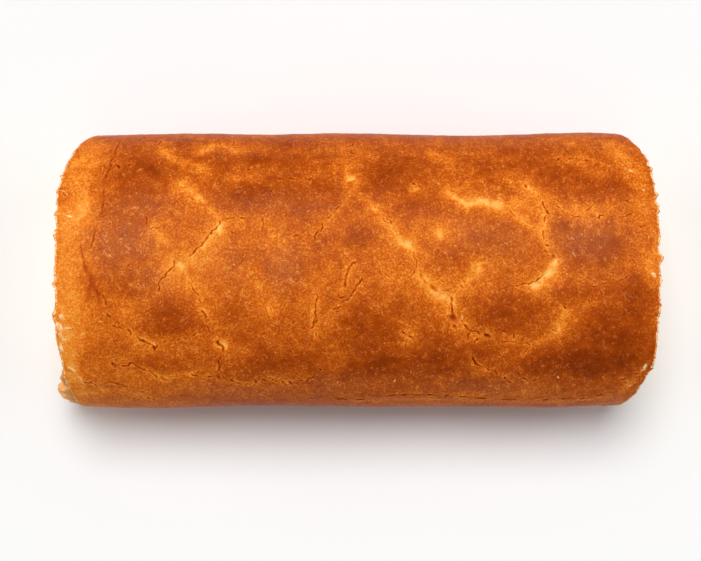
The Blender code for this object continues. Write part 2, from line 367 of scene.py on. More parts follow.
# Cracks and pits: (depth, half-width, route)
CRACKS = [
    # the back left
    (1, 0.4, -110, 45, -108, 43),
    (1, 0.45, -104.5, 45, -103, 45),
    (0.6, 0.45, -91, 58, -92, 55),
    (0.5, 0.28, -76, 38, -76.5, 36),
    (0.5, 0.28, -80, 34, -78, 34, -76, 34),
    (0.5, 0.28, -75, 32, -74.5, 30),
    (0.7, 0.35, -74, 28.6, -73.5, 28.4),
    (0.7, 0.32, -95, 21, -94, 18, -94, 16),
    (0.5, 0.28, -93, 14, -91, 15, -88, 15),
    (0.34, 0.38, -112, 58, -112.5, 50, -113, 44, -114.5, 38),
    (0.32, 0.36, -114, 34, -114, 24, -115, 20, -112, 21),
    (0.4, 0.4, -117, 13.7, -118, 9, -118.8, 5.7),
    (0.26, 0.45, -123.3, 7.4, -122, 2, -121, -2),
    (0.26, 1.3, -121, -2, -119.2, -6, -118.1, -10.4),
    (0.2, 1, -118.8, -10.5, -120.4, -17.3),
    (0.22, 1, -117.6, -10.5, -115, -15.1, -114.8, -20),
    (0.45, 0.36, -114, -14, -112, -17.3, -111.4, -21),
    (0.2, 0.6, -131, 46, -127, 47, -122, 46),
    (0.5, 0.3, -64, 57, -62.5, 55, -61, 54),
    (0.5, 0.3, -57, 58, -57, 55),
    (0.4, 0.28, -72, 49, -70, 48),
    (0.5, 0.3, -55, 38, -54, 38),
    (0.4, 0.28, -50, 43, -48, 42),
    (0.7, 0.32, -35, 38.5, -34.5, 38.5),
    (0.6, 0.28, -32, 38.6, -30, 38.2, -26, 38),
    (0.5, 0.4, -24, 39, -22, 38, -20, 39),
    (0.7, 0.34, -61, 19, -63, 15, -65, 13, -70, 7, -75, 2),
    (0.4, 0.26, -60, 19, -57, 19.5, -54, 19.5),
    (0.6, 0.3, -52, 19.5, -51, 19.5),
    (0.5, 0.28, -57, 13, -54.5, 12.5),
    (0.4, 0.3, -42, 20, -42, 16, -43, 13),
    (0.5, 0.26, -35, 12, -37, 10, -38, 8),
    (0.6, 0.28, -29, 10.5, -27.5, 12, -25, 12),
    (0.6, 0.32, -16, 18, -15.5, 15, -18, 13, -19, 11, -18, 9),
    (0.3, 0.3, -18, 30, -14, 27),
    (0.5, 0.3, -7, 26.4, -9, 24.6, -9.6, 22.6),
    (0.5, 0.3, -11, 22, -12.4, 20.6, -14, 19.6),
    (0.4, 0.26, -20.4, 12, -22, 11, -23, 9.6),
    (0.7, 0.3, -81, 1, -82, -2, -85, -6, -88, -9, -88.5, -14),
    # the back, from the middle to the right
    (1, 0.5, 2, 58.5, 3, 58),
    (0.6, 0.35, -1, 57.5, -3, 55.5, -6, 54.5),
    (0.6, 0.32, -2.5, 54, -2.5, 52, -1, 51),
    (0.6, 0.3, 7.5, 25, 8.5, 24),
    (0.6, 0.3, 11, 20, 12.5, 18.5, 14, 16.5),
    (0.6, 0.3, 14.5, 18.5, 15.5, 17),
    (0.5, 0.3, 25, 5, 26, 1, 26, -3, 25, -5.5, 22, -8),
    (0.8, 0.32, 25, 35.7, 26, 35.4),
    (0.5, 0.26, 27.5, 34.5, 28.5, 34),
    (0.7, 0.3, 33, 33.2, 33.4, 33),
    (0.5, 0.28, 43, 36.7, 44, 36.3),
    (0.4, 0.26, 42, 33, 43, 32, 44, 32.5),
    (0.5, 0.28, 35, 51, 37, 50, 37, 48.5, 39, 48),
    (0.4, 0.26, 36, 6, 37, 4.5),
    (0.6, 0.3, 68.5, 24, 69.5, 21.5, 71, 20),
    (0.5, 0.28, 63, 29.3, 64, 29),
    (0.4, 0.26, 70, 25, 74, 27),
    (0.5, 0.28, 74, 19.5, 76, 17.5, 78, 16.5),
    (0.9, 0.42, 76, 35.5, 76.2, 34),
    (0.5, 0.28, 80, 30, 81.5, 29.5, 82, 30.5),
    (0.7, 0.32, 83, 28, 84, 25, 85.5, 21.5, 86.5, 21),
    (0.7, 0.32, 84, 21, 83.5, 18),
    (0.7, 0.32, 82.5, 15, 83, 12, 83.7, 9),
    (0.8, 0.34, 84, 8, 85.5, 7.5),
    (0.6, 0.3, 83.5, 6, 85, 3, 86, 2),
    (0.9, 0.36, 87, 2.8, 87.3, 2.4),
    (0.6, 0.3, 89, 25.3, 91, 24.5),
    (0.5, 0.28, 93, 23, 96, 21.5, 98, 20.5, 101, 20.5),
    (0.5, 0.28, 101, 21.5, 104, 24, 106, 26, 107, 28),
    (0.6, 0.3, 111, 20.5, 109, 21, 108.5, 19),
    (0.4, 0.3, 116, 20.6, 119.7, 20.2, 123.8, 22.5),
    (0.9, 0.36, 91.5, 47.5, 92.5, 48.2),
    (0.9, 0.4, 97.5, 48.3, 98.3, 48.7),
    (0.9, 0.4, 105, 47.6, 105.8, 47.4),
    (0.4, 0.26, 101.5, 51, 102, 49),
    # the middle
    (0.7, 0.34, 2.5, -7, 0, -11, -2, -14.5, -4, -16.5, -6, -17),
    (0.5, 0.3, -9, -14.5, -7.5, -15.5, -5, -15),
    (0.6, 0.4, 0, 0, -3, -2, -5, -6, -5.2, -12),
    (0.6, 0.34, -11, -21, -7, -20, -6, -22),
    (0.6, 0.3, -7.5, -15.5, -8.5, -14),
    (0.6, 0.36, -18, -14, -18.5, -22, -18, -28),
    (0.7, 0.36, -19, -24, -19.5, -28, -21, -30),
    (0.7, 0.32, -18.3, -31, -17.6, -33),
    (0.4, 0.26, -14, -23.5, -10, -22.5, -6, -21),
    (0.5, 0.28, -45, -11, -44.5, -12),
    (0.4, 0.26, -41, -20, -39.5, -23),
    (0.5, 0.28, 12, -5, 13.5, -6.5, 15, -7),
    (0.4, 0.28, 17, -6.5, 19, -7.5, 20, -9),
    (0.7, 0.55, 27.5, -4, 29.5, -8, 31, -10.5),
    (0.9, 0.6, 32.5, -10, 34.5, -12, 36.5, -13.6),
    (0.7, 0.55, 38, -13, 40, -12.7, 41, -13.5),
    (0.8, 0.4, 41, -15, 42, -18, 42.3, -24),
    (1.9, 1.05, 41.5, -24.6, 44, -26),
    (1.1, 0.5, 43.5, -28.2, 43.8, -28.8),
    (0.7, 0.32, 46, -10.5, 46.5, -11),
    (0.7, 0.32, 47.5, -8, 48.2, -9),
    (0.8, 0.36, 47.5, -27.5, 49, -29.5, 51, -30.8, 54, -30.8, 55.3, -32.4),
    (0.7, 0.34, 50.5, -31.5, 49.6, -33, 49.4, -35),
    (0.8, 0.34, 54.5, -34, 53, -35.5, 52.3, -36.4),
    (1.3, 0.5, 57, -32.2, 59, -33.4),
    (0.6, 0.3, 61, -30, 62, -31.5),
    (0.6, 0.3, 64, -30.5, 66, -31, 68, -32.5),
    (0.9, 0.36, 69.5, -32.5, 69.6, -34),
    (0.4, 0.26, 66, -35, 71, -36.5),
    (0.5, 0.28, 74, -36, 77, -37, 76, -39, 74, -42),
    (0.6, 0.3, 68, -11, 73, -10, 77, -9.5, 80, -8, 84, -5),
    (0.7, 0.3, 92.3, -20.3, 92.8, -20.7),
    (0.5, 0.28, 87, -30, 90, -31),
    (0.5, 0.28, 84, -33, 86, -33.5),
    (0.4, 0.28, 104, -11.5, 108, -11, 112, -10),
    (0.4, 0.28, 116, -9, 119, -7.5, 121, -6),
    (0.3, 0.26, 108, -13, 110, -16),
    # the front left
    (0.6, 0.3, -76, -8, -73, -12, -70, -15.5),
    (0.8, 0.36, -70, -16.7, -69.7, -17.3),
    (0.9, 0.38, -69, -21, -68, -23, -67.3, -26),
    (0.6, 0.32, -67.3, -28.5, -65, -32),
    (0.9, 0.42, -62, -34.5, -62.7, -36, -60.5, -38, -60, -40.5),
    (0.5, 0.34, -61, -41.5, -62.3, -45, -62, -49),
    (0.9, 0.36, -112, -23, -110, -25.2),
    (0.9, 0.36, -109.5, -28.3, -108, -29, -107, -30),
    (0.6, 0.3, -107, -29, -105.5, -30),
    (0.7, 0.34, -103, -30, -102, -31, -101, -33),
    (0.8, 0.34, -99, -32.5, -97, -35, -94, -36.5, -91.5, -37.5),
    (1.2, 0.5, -91.5, -37.7, -91, -39, -90.6, -40),
    (0.7, 0.3, -90.6, -39.5, -90, -36.6),
    (0.6, 0.3, -87.5, -36.5, -85.5, -35),
    (0.5, 0.28, -83.5, -35.5, -82, -35.3),
    (0.6, 0.3, -81, -35, -79.5, -34.3),
    (0.6, 0.3, -77, -34.3, -76, -34.2),
    (0.6, 0.3, -74, -33, -72, -32),
    (1.1, 0.42, -110.7, -45.3, -110, -45.8),
    (0.7, 0.32, -107, -46.5, -104, -46.5, -101, -45.6, -98, -47.5, -95, -48.5),
    (0.6, 0.36, -95, -48.5, -92, -50.5, -90, -52),
    (0.9, 0.6, -89.5, -51, -88, -52.5, -86, -53),
    (0.5, 0.28, -86, -51.5, -81, -51.5),
    (0.7, 0.34, -79, -49.3, -78, -50),
    (0.7, 0.34, -75.3, -50.2, -74, -51, -71, -51.4),
    (0.7, 0.34, -68, -51.5, -65, -51),
    (1.2, 0.62, -63, -50.3, -62.3, -52.5),
    (0.6, 0.3, -61, -51, -60, -51.7),
    (0.9, 0.38, -57.3, -52.4, -56, -53.4),
    (0.8, 0.34, -54.5, -54, -53.3, -54),
    (0.6, 0.3, -51, -54.6, -48, -54.6),
    (1, 0.42, -46.2, -52.7, -46, -53.7),
    (0.8, 0.34, -43, -52, -41, -53),
    (0.8, 0.34, -39, -52.3, -36, -53),
    (0.8, 0.34, -34.6, -52.8, -33.5, -53.8),
    (0.9, 0.4, -31.5, -53, -29, -54.5),
    (0.8, 0.34, -28, -53.8, -26, -53, -24, -52.6),
    (1, 0.36, -22.6, -52.5, -22.3, -51.8),
    (0.8, 0.34, -20.6, -51.2, -19.8, -51),
    (0.8, 0.36, -17, -47.3, -16.3, -48.2),
    (0.5, 0.36, -127, -54, -121, -54.3, -119.5, -56),
    (0.5, 0.36, -116, -54.6, -111, -53.5, -107, -55, -101, -56.6),
    (0.9, 0.38, -99, -58, -97.5, -58.4),
    (1.1, 0.42, -96.5, -60.4, -95.8, -60.8),
    (1, 0.38, -94.3, -60.9, -93.5, -61.4),
    # the front, from the middle to the right
    (0.7, 0.34, 20.3, -31.3, 21, -31.8),
    (0.7, 0.32, 23.3, -32.8, 24.6, -34.2),
    (0.6, 0.28, 20.4, -35.5, 20.8, -35.7),
    (0.9, 0.34, 52, -42.3, 53, -44.5, 54.5, -46, 57, -47),
    (0.7, 0.3, 57, -47, 60, -48.6),
    (0.7, 0.3, 61, -48.5, 64, -50),
    (0.8, 0.34, 66.5, -51, 67.5, -52),
    (0.9, 0.34, 69, -53.5, 69.6, -53.7),
    (0.9, 0.34, 73, -49.3, 73.4, -49.9),
    (0.7, 0.32, 74, -52, 76, -52, 78, -53),
    (0.7, 0.32, 80, -53, 82, -52.2),
    (0.6, 0.36, 120, -53, 124, -52.6, 127, -51.6),
    (0.5, 0.34, 121, -56, 126, -55.6),
    (0.5, 0.4, 128, -50, 131, -50.4),
    (0.6, 0.5, 129, -54, 127.5, -55.5),
    (0.4, 0.4, 125, 16, 128.5, 16.4, 131.6, 17.8),
    # the long crease low on the front, which opens here and there
    (0.3, 0.5, -14, -61, -5, -60.8, 4, -61.5, 12, -61, 16, -60, 35, -60, 48, -60.5, 62, -61),
    (0.3, 0.5, 62, -61, 76, -61, 86, -61.3, 95, -60.5, 106, -60.8, 114, -59.5, 121, -58.3),
    (1.3, 0.42, -10, -61, -4, -61.3),
    (1.4, 0.45, -1, -61.5, 3.8, -61.6),
    (1.2, 0.4, 14, -60.2, 18, -59.9),
    (1.2, 0.4, 20, -59.9, 22.5, -60),
    (1.2, 0.4, 26, -60, 30, -59.9),
    (1.1, 0.4, 32, -60, 35, -60),
    (1.1, 0.4, 40, -60.1, 43, -60.1),
    (1.1, 0.4, 47, -60.4, 50, -60.6),
    (1.2, 0.4, 54, -60.9, 60, -61),
    (1, 0.36, 66, -61, 74, -61),
    (1.2, 0.4, 86, -61.2, 89, -60.9),
    (1.1, 0.38, 94, -60.6, 100, -60.6),
    (1.2, 0.4, 104, -60.9, 107, -60.7),
    (1.1, 0.38, 111, -60, 116, -59),
]

# Torn edges of the skin that stand up, with pale crumb on them: (height, half-width, route)
LIPS = [
    # the left end
    (0.3, 0.3, -134.6, 32, -133.3, 32.4, -131.6, 31.6, -130, 29.6),
    (0.3, 0.34, -135, 21.4, -130.5, 21.2, -127, 20.9),
    (0.5, 0.7, -132.4, -23.6, -131.2, -25.4),
    (0.6, 0.9, -134.2, -26.6, -133, -29, -131.6, -30.4),
    (0.35, 0.4, -131.6, -30.2, -129, -29.6, -127.2, -29),
    (0.6, 0.8, -132.8, -31.5, -132.6, -34),
    (0.35, 0.4, -132.4, -33.5, -130.6, -35),
    (0.5, 0.6, -133.5, -35.6, -133.2, -38.5, -132.4, -40.5),
    (0.4, 0.45, -131.6, -46, -129.6, -48.5, -128.4, -50),
    (0.3, 0.34, -128.4, -50, -126.4, -52.4, -124.8, -55),
    # the right end
    (0.22, 0.9, 132.6, -45, 132, -47.6, 130.6, -49.6),
    (0.14, 0.6, 129.8, -50, 127, -50.4, 124.6, -51.4),
    (0.18, 0.9, 130, -52, 128, -56.4),
    (0.13, 0.6, 126.6, -53, 123, -54),
    (0.15, 0.6, 126.6, -57.4, 124.2, -59.2),
    (0.4, 0.6, 131.8, -5, 132.4, -6.6),
    (0.3, 0.4, 129, 32.9, 129.4, 32.5),
    (0.2, 0.45, 122, 43.6, 125, 42.6, 128, 41.4),
    # in the middle
    (0.5, 0.3, 46.5, -24, 47, -26),
    (0.4, 0.26, -91.5, -36.2, -90, -37.5),
    # specks of crumb
    (0.5, 0.4, 91, -51, 91.4, -51.3),
    (0.4, 0.34, -99.5, -14.5, -99.1, -14.3),
    (0.4, 0.34, 17, -53.5, 17.3, -53.2),
    (0.3, 0.3, -61, 3, -60.6, 3.2),
    (0.3, 0.3, -55, -1, -54.7, -1.3),
]

# Where the rim of an end bulges out, seen from above, for -X and +X: (y, half-width, height)
RIM_BUMPS = {
    -1: [(32, 2.6, 0.8), (22.5, 1.5, 0.8), (-24, 3.0, 0.9), (-44, 6.0, -1.6)],
    1: [(1.5, 2.2, 1.8), (-7.5, 2.0, 1.0), (42, 3.0, 0.6), (-44, 4.0, 0.8)],
}

# Strips beside the ends where the skin is thin and pale: (end, width, strength)
PALE_STRIPS = [(-1, 21, 0.20), (1, 11, 0.08)]


# --- The section -----------------------------------------------------------------------------------
def smooth(low, high, value):
    """0 below low, 1 above high, and a smooth rise between."""
    share = np.clip((value - low) / (high - low), 0.0, 1.0)
    return share * share * (3.0 - 2.0 * share)


def fading(distance, reach):
    """1 at no distance, falling smoothly to 0 at the reach."""
    return 1.0 - smooth(0.0, reach, distance)


def bell(value, width):
    return np.exp(-((value / width) ** 2))


def signed_power(value, power):
    return np.sign(value) * np.abs(value) ** power


def run_along(points):
    """How far along a broken line each of its points is."""
    return np.concatenate(([0.0], np.cumsum(np.linalg.norm(np.diff(points, axis=0), axis=1))))


def read_rows(where, run, rows):
    """Two-column rows between those of a table."""
    return np.column_stack([np.interp(where, run, rows[:, i]) for i in (0, 1)])


def left_of(heading):
    """Unit vectors at right angles to these, to their left."""
    length = np.linalg.norm(heading, axis=1)[:, None]
    return np.column_stack((-heading[:, 1], heading[:, 0])) / length


def with_x(x, rows):
    return np.column_stack((np.full(len(rows), x), rows))


def settle(height, floor):
    """Lifts what lies below the floor onto it, with a soft turn just above it."""
    above = height - floor
    bend = (above + BASE_ROUND) ** 2 / (4.0 * BASE_ROUND)
    return floor + np.where(above <= -BASE_ROUND, 0.0, np.where(above >= BASE_ROUND, above, bend))


def section_point(turn, depth):
    """(y, z) rows of the points at these turns of the roll, depth inside its outer skin."""
    angle = SEAM_ANGLE + 2.0 * math.pi * turn
    upper = np.sin(angle) > 0
    power = np.where(upper, TOP_POWER, LOW_POWER)
    rise = np.where(upper, TOP_RISE, LOW_DROP)
    y = -(HALF_WIDTH - depth) * signed_power(np.cos(angle), 2.0 / power)
    z = WIDEST_AT + (rise - depth) * signed_power(np.sin(angle), 2.0 / power)
    return np.column_stack((y, settle(z, np.minimum(depth, CORE_FLOOR))))


def sheet_thickness(turn):
    return SHEET * (EDGE_SHARE + (1.0 - EDGE_SHARE) * smooth(0.0, EDGE_WEDGE, turn))


def spacing(turn):
    return GAP + (CREAM + GAP) * smooth(CREAM_THIN, CREAM_FULL, turn)


def outer_depth(turn):
    edge = SHEET * EDGE_SHARE + GAP
    depth = edge * smooth(1.0 - EDGE_DIP, 1.0, turn)
    if turn.max() < 1.0:
        return depth
    before = np.maximum(turn - 1.0, 0.0)
    return np.where(turn < 1.0, depth, inner_depth(before) + spacing(before))


def inner_depth(turn):
    return outer_depth(turn) + sheet_thickness(turn)


def outer_face(turn, clear=0.0):
    """(y, z) rows this far clear of the sheet's browned face."""
    return section_point(turn, outer_depth(turn) - clear)


def inner_face(turn, clear=0.0):
    """(y, z) rows this far clear of the sheet's inner face, which folds back on itself in the core."""
    plain = section_point(turn, inner_depth(turn) + clear)
    return np.where((turn < CORE_TURNS[0])[:, None], plain, core_face(turn, clear))


def core_face(turn, clear):
    start = np.array(CORE_TURNS[:1])
    start_y, low = section_point(start, inner_depth(start))[0]
    radius = 0.5 * CREAM + GAP
    leg = np.interp(turn, CORE_TURNS, (0.0, 1.0, 2.0, 3.0))
    swing = math.pi * np.clip(leg - 1.0, 0.0, 1.0)
    first_run = np.minimum(leg, 1.0) * (CORE_FOLD - start_y)
    last_run = np.maximum(leg - 2.0, 0.0) * (CORE_STOP - CORE_FOLD)
    y = start_y + first_run - (radius - clear) * np.sin(swing) + last_run
    z = low + radius - (radius - clear) * np.cos(swing)
    return np.column_stack((y, z))


def placed(along, section, lip=1.0):
    """Points of the roll from (y, z) rows: its ends' outline, their sag, and the lip of crumb."""
    along = np.full(len(section), along)
    share = along / HALF_LENGTH
    y, z = section[:, 0], section[:, 1]
    end, side = np.where(share < 0, -1, 1), np.where(y < 0, -1, 1)
    pull = np.select([(end == key[0]) & (side == key[1]) for key in CORNER_PULL], list(CORNER_PULL.values()))
    shift = -pull * np.minimum(1.0, np.abs(y) / HALF_WIDTH) ** CORNER_POWER
    off_y = (y - LIP_CENTRE[0]) / LIP_SIZE[0]
    off_z = (z - LIP_CENTRE[1]) / LIP_SIZE[1]
    shift = shift + (end < 0) * lip * LIP_REACH * np.exp(-(off_y**2) - off_z**2)
    reach = np.abs(share) ** END_REACH
    sag = END_SAG * reach * np.maximum(0.0, z / (WIDEST_AT + TOP_RISE)) ** 2
    return np.column_stack((along + np.sign(share) * reach * shift, y, z - sag))


TABLE_TURNS = np.linspace(0.0, 1.0, 1501)
TABLE_FACE = outer_face(TABLE_TURNS)
TABLE_OUTWARD = left_of(np.gradient(TABLE_FACE, axis=0))
RIDGE_TURN = (math.radians(90) - SEAM_ANGLE) / (2.0 * math.pi)
TABLE_ARC = run_along(TABLE_FACE)
TABLE_ARC -= np.interp(RIDGE_TURN, TABLE_TURNS, TABLE_ARC)
UPPER = TABLE_FACE[:, 1] > WIDEST_AT
FRONT_ARC, BACK_ARC = TABLE_ARC[UPPER][0], TABLE_ARC[UPPER][-1]


def turn_at(arc):
    return np.interp(arc, TABLE_ARC, TABLE_TURNS)


def skin_section(arc):
    return read_rows(arc, TABLE_ARC, TABLE_FACE)


def skin_outward(arc):
    """Unit vectors out of the skin."""
    return with_x(0.0, read_rows(arc, TABLE_ARC, TABLE_OUTWARD))


def on_skin(route):
    """(along, arc) of places given as x, y, x, y in millimetres seen from above."""
    route = np.reshape(route, (-1, 2)) * MM
    arc = np.interp(route[:, 1], TABLE_FACE[UPPER, 0], TABLE_ARC[UPPER])
    return np.column_stack((route[:, 0], arc))


def clear_of_base(turn):
    """1 on the skin that shows, falling to 0 at the seam and underneath."""
    return smooth(*SEAM_TURNS, turn) * (1.0 - smooth(*BASE_TURNS, turn))


# --- Noise and cracks --------------------------------------------------------------------------------
def ripple(points, size, seed):
    """Smooth noise, about -1 to 1, with lumps of this size."""
    moved = np.asarray(points) / size + SEED_SHIFT * seed
    return NOISE_GAIN * np.array([noise.noise(place) for place in moved.tolist()])


def ripples(points, lumps, start=0.0, seed=0):
    """The sum of several noises, added to a start."""
    return sum((height * ripple(points, size, seed + own) for height, size, own in lumps), start)


def traced(route, step):
    """Evenly spaced places along a smooth curve through the route's points."""
    ends = np.vstack((2 * route[0] - route[1], route, 2 * route[-1] - route[-2]))
    curve = []
    for before, start, stop, after in zip(ends, ends[1:], ends[2:], ends[3:]):
        bend = 2 * before - 5 * start + 4 * stop - after
        twist = 3 * start - before - 3 * stop + after
        for t in np.linspace(0.0, 1.0, CURVE_STEPS, endpoint=False):
            curve.append(start + 0.5 * t * ((stop - before) + (bend * t + twist * t * t)))
    curve = np.array(curve + [route[-1]])
    run = run_along(curve)
    return read_rows(np.linspace(0.0, run[-1], max(3, round(run[-1] / step) + 1)), run, curve)


def crack_line(depth, half_width, route, seed):
    """A wandering crack: rows of (along, arc, depth, half-width), and the direction across each."""
    line = traced(route, CRACK_STEP)
    run = np.arange(len(line)) * CRACK_STEP
    here = np.column_stack((run, np.zeros((len(line), 2))))
    across = left_of(np.gradient(line, axis=0))
    line = line + ripples(here, WANDER, seed=seed)[:, None] * across
    tip = min(CRACK_TIP, TIP_SHARE * run[-1])
    taper = smooth(TIP_START, tip, run) * smooth(TIP_START, tip, run[-1] - run)
    uneven = ripples(here, CRACK_UNEVEN, 1.0, seed)
    width = half_width * MM * (CRACK_WIDTH + CRACK_WIDENING * uneven)
    return np.column_stack((line, depth * MM * taper * uneven, width)), across


def a_step(lengths, heading, random):
    """A step along the skin, of a random length between these two, which are in millimetres."""
    return random.uniform(*lengths) * MM * np.array((math.cos(heading), math.sin(heading)))


def unseen_cracks(random):
    """Cracks of the same kind as the listed ones, on the sides and underneath."""
    made = []
    low = (-UNSEEN_LIMIT, TABLE_ARC[0] + UNSEEN_CLEAR[0])
    high = (UNSEEN_LIMIT, TABLE_ARC[-1] - UNSEEN_CLEAR[1])
    for side, edge in ((-1, FRONT_ARC), (1, BACK_ARC)):
        for _ in range(UNSEEN_COUNT):
            along = random.uniform(-UNSEEN_ALONG, UNSEEN_ALONG)
            route = [np.array((along, edge + side * random.uniform(*UNSEEN_DOWN)))]
            heading = random.uniform(-UNSEEN_HEADING, UNSEEN_HEADING) + math.pi * random.integers(2)
            for _ in range(random.integers(*UNSEEN_STEPS)):
                heading += random.normal(0.0, UNSEEN_TURN)
                route.append(route[-1] + a_step(UNSEEN_STEP, heading, random))
            shape = random.uniform(*UNSEEN_DEPTH), random.uniform(*UNSEEN_WIDTH)
            made.append((*shape, np.clip(route, low, high)))
    return made


def wrinkles(random):
    """Small shallow creases all over, with more of them round the pale veins."""
    along = random.uniform(-WRINKLE_ALONG, WRINKLE_ALONG, WRINKLE_COUNT)
    arc = random.uniform(FRONT_ARC - WRINKLE_DOWN, BACK_ARC + WRINKLE_DOWN, WRINKLE_COUNT)
    places = np.column_stack((along, arc))
    chance = WRINKLES_KEPT + VEIN_WRINKLES * strongest(VEINS, places)
    kept = random.uniform(0.0, 1.0, WRINKLE_COUNT) < chance
    made = []
    for place in places[kept]:
        heading = random.uniform(0.0, 2.0 * math.pi)
        route = [place]
        for _ in range(2):
            route.append(route[-1] + a_step(WRINKLE_STEP, heading, random))
            heading += random.uniform(*WRINKLE_TURN) * random.choice((-1.0, 1.0))
        made.append((random.uniform(*WRINKLE_DEPTH), random.uniform(*WRINKLE_WIDTH), np.array(route)))
    return made


def search_tree(places):
    tree = kdtree.KDTree(len(places))
    for index, place in enumerate(places.tolist()):
        tree.insert((*place, 0.0), index)
    tree.balance()
    return tree


def nearest(places, others):
    """For each place, which of the others is nearest and how far away it is."""
    tree = search_tree(others)
    index, distance = np.array([tree.find((*place, 0.0))[1:] for place in places.tolist()]).T
    return index.astype(int), distance


class Cracks:
    """Every crack in the skin, and how near a place is to one."""

    def __init__(self):
        random = np.random.default_rng(CRACK_SEED)
        listed = [(depth, width, on_skin(route)) for depth, width, *route in CRACKS]
        listed += [(-height, width, on_skin(route)) for height, width, *route in LIPS]
        lines, points = [], []
        for seed, crack in enumerate(listed + unseen_cracks(random) + wrinkles(random)):
            line, across = crack_line(*crack, seed)
            lines.append(line)
            wider = max(1.0, crack[1] / OFFSETS_SUIT)
            points += [line[:, :2] + wider * offset * across for offset in CRACK_OFFSETS]
        self.lines = np.vstack(lines)
        self.mesh_points = np.vstack(points)
        self.tree = search_tree(self.lines[:, :2])

    def grooves(self, places):
        """For each place: the crack's depth, how dark its painted shade is, how far its rims and torn lips
        stand up.
        """
        depths, groove_shades, rims, lips = np.zeros((4, len(places)))
        for row, place in enumerate(places.tolist()):
            for _, index, distance in self.tree.find_range((*place, 0.0), CRACK_REACH):
                _, _, depth, half_width = self.lines[index]
                inside = depth * math.exp(-((distance / half_width) ** 2))
                if depth < 0.0:
                    lips[row] = max(lips[row], -inside)
                    continue
                depths[row] = max(depths[row], inside)
                groove_shades[row] = max(groove_shades[row], inside * min(1.0, (DARK_WIDTH / half_width) ** 1.5))
                off = (distance - RIM_PLACE * half_width) / (RIM_SPREAD * half_width)
                rims[row] = max(rims[row], depth * math.exp(-(off**2)))
        return depths, groove_shades, rims, lips


# --- The state of the skin -----------------------------------------------------------------------------
def distance_to_route(places, route):
    """Distance from each place to a broken line, or to a point."""
    found = np.linalg.norm(places - route[0], axis=1)
    for start, stop in zip(route[:-1], route[1:]):
        step = stop - start
        share = np.clip((places - start) @ step / (step @ step), 0.0, 1.0)
        found = np.minimum(found, np.linalg.norm(places - start - share[:, None] * step, axis=1))
    return found


def strongest(lines, places, halo_share=VEIN_HALO_SHARE):
    """How strong, 0 to 1, these (strength, half-width, x, y, ...) lines are at each place."""
    total = np.zeros(len(places))
    for strength, half_width, *route in lines:
        near = distance_to_route(places, on_skin(route)) / (half_width * MM)
        profile = (1.0 - halo_share) * bell(near, VEIN_CORE) + halo_share * bell(near, VEIN_HALO)
        total = np.maximum(total, strength * profile)
    return total


def spots_at(spots, places, power):
    """How strong, 0 to 1, these (strength, half-length, half-width, x, y) spots are at each place."""
    total = np.zeros(len(places))
    for strength, half_length, half_width, *middle in spots:
        off = (places - on_skin(middle)[0]) / (half_length * MM, half_width * MM)
        total = np.maximum(total, strength * np.exp(-((off**2).sum(axis=1) ** power)))
    return total


def end_paleness(places, points):
    total = np.zeros(len(places))
    for end, width, strength in PALE_STRIPS:
        inward = HALF_LENGTH - end * places[:, 0]
        ragged = width * MM * (1.0 + 0.35 * ripple(points, 14 * MM, 3.1 + end))
        here = 1.0 if end < 0 else smooth(-0.010, 0.012, points[:, 1])
        total += strength * here * (1.0 - smooth(0.3, 1.1, inward / ragged))
    return total


def painted_side_shade(points):
    """Painted shade: the skin is darker towards the back and, more so, on the front, but not at its lowest
    nor at -X.
    """
    x, y = points[:, 0], points[:, 1]
    back = 0.15 * smooth(0.015, 0.035, y)
    front = 0.22 * smooth(-0.120, -0.005, x) + 0.05 * smooth(0.05, 0.11, x) - 0.03
    down_front = smooth(-0.024, -0.040, y) * (1.0 - 0.7 * smooth(-0.050, -0.060, y))
    low_left = 0.05 * smooth(-0.070, -0.100, x) * smooth(-0.042, -0.052, y)
    return back + front * down_front - low_left


def blister(places):
    """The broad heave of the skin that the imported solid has."""
    turn = turn_at(places[:, 1])
    x, t = places[:, 0] / BLISTER_SPAN, turn * BLISTERS_PER_TURN
    waves = np.sin(1.3 * x + 0.8 * t) + np.sin(0.9 * x - 1.2 * t + 1.7) + np.sin(1.1 * t + 0.6)
    return 0.5 * BLISTER * waves * smooth(0.0, 0.06, turn) * (1.0 - smooth(0.62, 0.7, turn))


def skin_state(places, cracks):
    """For each place: how far the skin stands out, its browning with painted shade and highlight in it, the
    painted shade of its cracks, how far a torn lip stands up, and how far a crease or crack has smoothed it."""
    points = placed(places[:, 0], skin_section(places[:, 1]))
    depths, groove_shades, rims, lips = cracks.grooves(places)
    creased = strongest(CREASES, places, CREASE_HALO_SHARE)
    veins = strongest(VEINS, places) * ripples(points, VEIN_LUMPS, 1.0)
    domes = spots_at(DOMES, places, DOME_POWER)
    shape = 0.5 + DOME_SHARE * domes - VEIN_SHARE * veins + ripples(points, BROAD_LUMPS)
    # Browning, with painted shade on the sides
    browning = shape + ripples(points, SMALL_LUMPS) + painted_side_shade(points) - end_paleness(places, points)
    # Painted highlight on the raised rims beside the cracks
    rim_highlight = RIM_HIGHLIGHT * np.minimum(rims / MM, 0.6)
    # Painted shade in the creases, and the veins' paleness
    browning += CREASE_SHADE * creased - VEIN_PALENESS * veins**3 - rim_highlight
    lift = SKIN_HEAVE * (shape - 0.5) + blister(places) + ripples(points, SKIN_GRAIN)
    clear = clear_of_base(turn_at(places[:, 1]))
    raised = clear * (lift + CRACK_RIM * rims + lips - CRACK_DEPTH * depths)
    # Painted shade in the cracks
    crack_shade = clear * np.minimum(1.0, groove_shades / DARK_DEPTH)
    return raised, browning, crack_shade, lips, np.maximum(creased, crack_shade)


# --- Meshes ----------------------------------------------------------------------------------------
def triangles(places, edges, inside=False):
    """Delaunay triangles over flat places, or over those inside the edges."""
    scaled = [Vector(place) for place in (places / MM).tolist()]
    made = delaunay_2d_cdt(scaled, edges, [], int(inside), 1e-7)
    return np.array([tuple(place) for place in made[0]]) * MM, [tuple(face) for face in made[2]]


def ring_edges(count):
    return [(i, (i + 1) % count) for i in range(count)]


